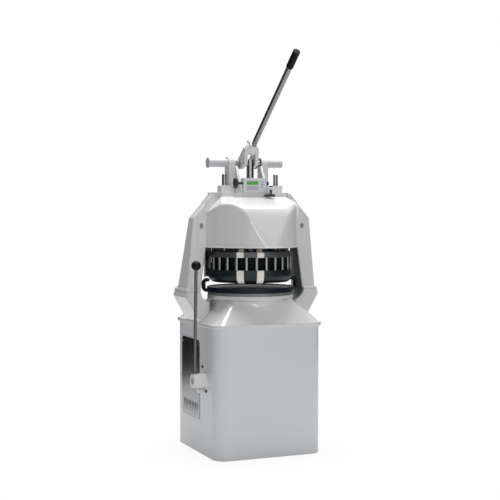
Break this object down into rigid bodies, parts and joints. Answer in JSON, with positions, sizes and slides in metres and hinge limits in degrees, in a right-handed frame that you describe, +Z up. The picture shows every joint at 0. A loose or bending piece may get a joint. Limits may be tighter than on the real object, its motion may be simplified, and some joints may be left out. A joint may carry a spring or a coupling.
{
  "type": "divider rounder",
  "caption": "Free-standing bakery dough divider and rounder: painted cabinet, orbiting plate table, two-armed yoke, cutting head and long press lever.",
  "frame": {"origin": "on the floor under the middle of the cabinet's base plate", "axes": "+Z up, -Y to the operator at the front, +X to the operator's right"},
  "size_m": [0.8222, 1.0128, 2.186],
  "materials": {
    "white_paint": "semi-gloss light grey-white paint",
    "brushed_panel": "brushed stainless",
    "bright_steel": "ground and polished",
    "dark_steel": "blackened",
    "grey_casting": "machined casting",
    "dark_aluminium": "dark anodised",
    "block_aluminium": "machined",
    "black_plate": "satin moulded",
    "black_plastic": "satin moulded",
    "ivory_plastic": "machined nylon",
    "bronze": "turned",
    "motor_paint": "matt paint",
    "belt_rubber": "moulded",
    "display_green": "backlit window"
  },
  "bodies": {
    "frame": {"base_plate": "white_paint", "cabinet_shell": "white_paint", "vent_panel": "brushed_panel", "rear_panel": "white_paint", "panel_screws": "dark_steel", "cable_gland": "black_plastic", "shoulder": "white_paint", "bearing_housing": "grey_casting", "bearings": "bright_steel", "motor_stand": "grey_casting", "motor": "motor_paint", "drive_belt": "belt_rubber", "wear_ring": "ivory_plastic", "lower_arms": "white_paint", "columns": "white_paint", "ledge_bolts": "dark_steel", "liners": "dark_steel", "top_beam": "white_paint", "top_deck": "white_paint", "rear_guard": "white_paint", "head_cover": "white_paint", "guide_blocks": "white_paint", "bronze_bushes": "bronze", "pedestals": "white_paint", "spring_tubes": "white_paint", "balance_springs": "dark_steel", "control_box": "white_paint", "display": "display_green", "side_flange": "white_paint"},
    "crank": {"crank_shaft": "bright_steel", "counterweight": "grey_casting", "crank_pulley": "grey_casting"},
    "table": {"rounding_table": "grey_casting"},
    "plate": {"dough_plate": "black_plate"},
    "motor_drive": {"motor_pulley": "grey_casting"},
    "press_lever": {"cross_shaft": "bright_steel", "shaft_collar": "black_plastic", "lever_fork": "white_paint", "lever_rod": "bright_steel", "lever_grip": "black_plastic", "clamp_bolt": "dark_steel"},
    "head": {"ram": "bright_steel", "guide_posts": "bright_steel", "head_plate": "dark_aluminium", "ring_bars": "bright_steel", "cutting_ring": "dark_aluminium", "knife_grid": "bright_steel", "pressing_blocks": "block_aluminium", "ring_pads": "ivory_plastic", "plate_caps": "ivory_plastic", "head_studs": "bright_steel"},
    "side_lever": {"side_hub": "white_paint", "side_lever_rod": "bright_steel", "side_shaft": "bright_steel"},
    "handwheel": {"handwheel": "black_plastic"},
    "switch_knob": {"side_switch_knob": "black_plastic"},
    "tee_handle": {"tee_handle": "black_plastic"},
    "button_up": {"button_up": "black_plastic"},
    "button_down": {"button_down": "black_plastic"},
    "button_start": {"button_start": "black_plastic"}
  },
  "joints": [
    {"name": "crank_spin", "type": "hinge", "parent": "frame", "child": "crank", "pos_m": [0, -0.036, 0.7], "axis": [0, 0, 1], "continuous": true},
    {"name": "table_orbit", "type": "hinge", "parent": "crank", "child": "table", "pos_m": [0, -0.042, 0.87], "axis": [0, 0, 1], "continuous": true},
    {"name": "plate_slide", "type": "slide", "parent": "table", "child": "plate", "axis": [0, -1, 0], "range_m": [0, 0.56]},
    {"name": "motor_spin", "type": "hinge", "parent": "frame", "child": "motor_drive", "pos_m": [0.12, 0.19, 0.5], "axis": [0, 0, 1], "continuous": true},
    {"name": "head_slide", "type": "slide", "parent": "frame", "child": "head", "axis": [0, 0, -1], "range_m": [0, 0.033], "stiffness_N_per_m": 9000, "springref_m": -0.16},
    {"name": "press_lever_pull", "type": "hinge", "parent": "frame", "child": "press_lever", "pos_m": [0, 0.018, 1.628], "axis": [1, 0, 0], "range_deg": [0, 36.1]},
    {"name": "side_lever_pull", "type": "hinge", "parent": "frame", "child": "side_lever", "pos_m": [-0.3175, -0.18, 0.425], "axis": [1, 0, 0], "range_deg": [0, 30]},
    {"name": "handwheel_turn", "type": "hinge", "parent": "frame", "child": "handwheel", "pos_m": [-0.09, -0.096, 1.51084], "axis": [1, 0, 0], "continuous": true},
    {"name": "switch_turn", "type": "hinge", "parent": "frame", "child": "switch_knob", "pos_m": [0.075, -0.096, 1.51084], "axis": [1, 0, 0], "range_deg": [0, 90]},
    {"name": "tee_turn", "type": "hinge", "parent": "frame", "child": "tee_handle", "pos_m": [0.086, -0.136, 1.47], "axis": [0, 0, 1], "range_deg": [0, 40]},
    {"name": "button_up_press", "type": "slide", "parent": "frame", "child": "button_up", "axis": [0, 1, 0], "range_m": [0, 0.0015], "stiffness_N_per_m": 400},
    {"name": "button_down_press", "type": "slide", "parent": "frame", "child": "button_down", "axis": [0, 1, 0], "range_m": [0, 0.0015], "stiffness_N_per_m": 400},
    {"name": "button_start_press", "type": "slide", "parent": "frame", "child": "button_start", "axis": [0, 1, 0], "range_m": [0, 0.0015], "stiffness_N_per_m": 400}
  ],
  "couplings": [
    {"joint": "table_orbit", "follows": "crank_spin", "ratio": -1},
    {"joint": "motor_spin", "follows": "crank_spin", "ratio": 4.684},
    {"joint": "press_lever_pull", "follows": "head_slide", "rad_per_m": 19.09}
  ]
}
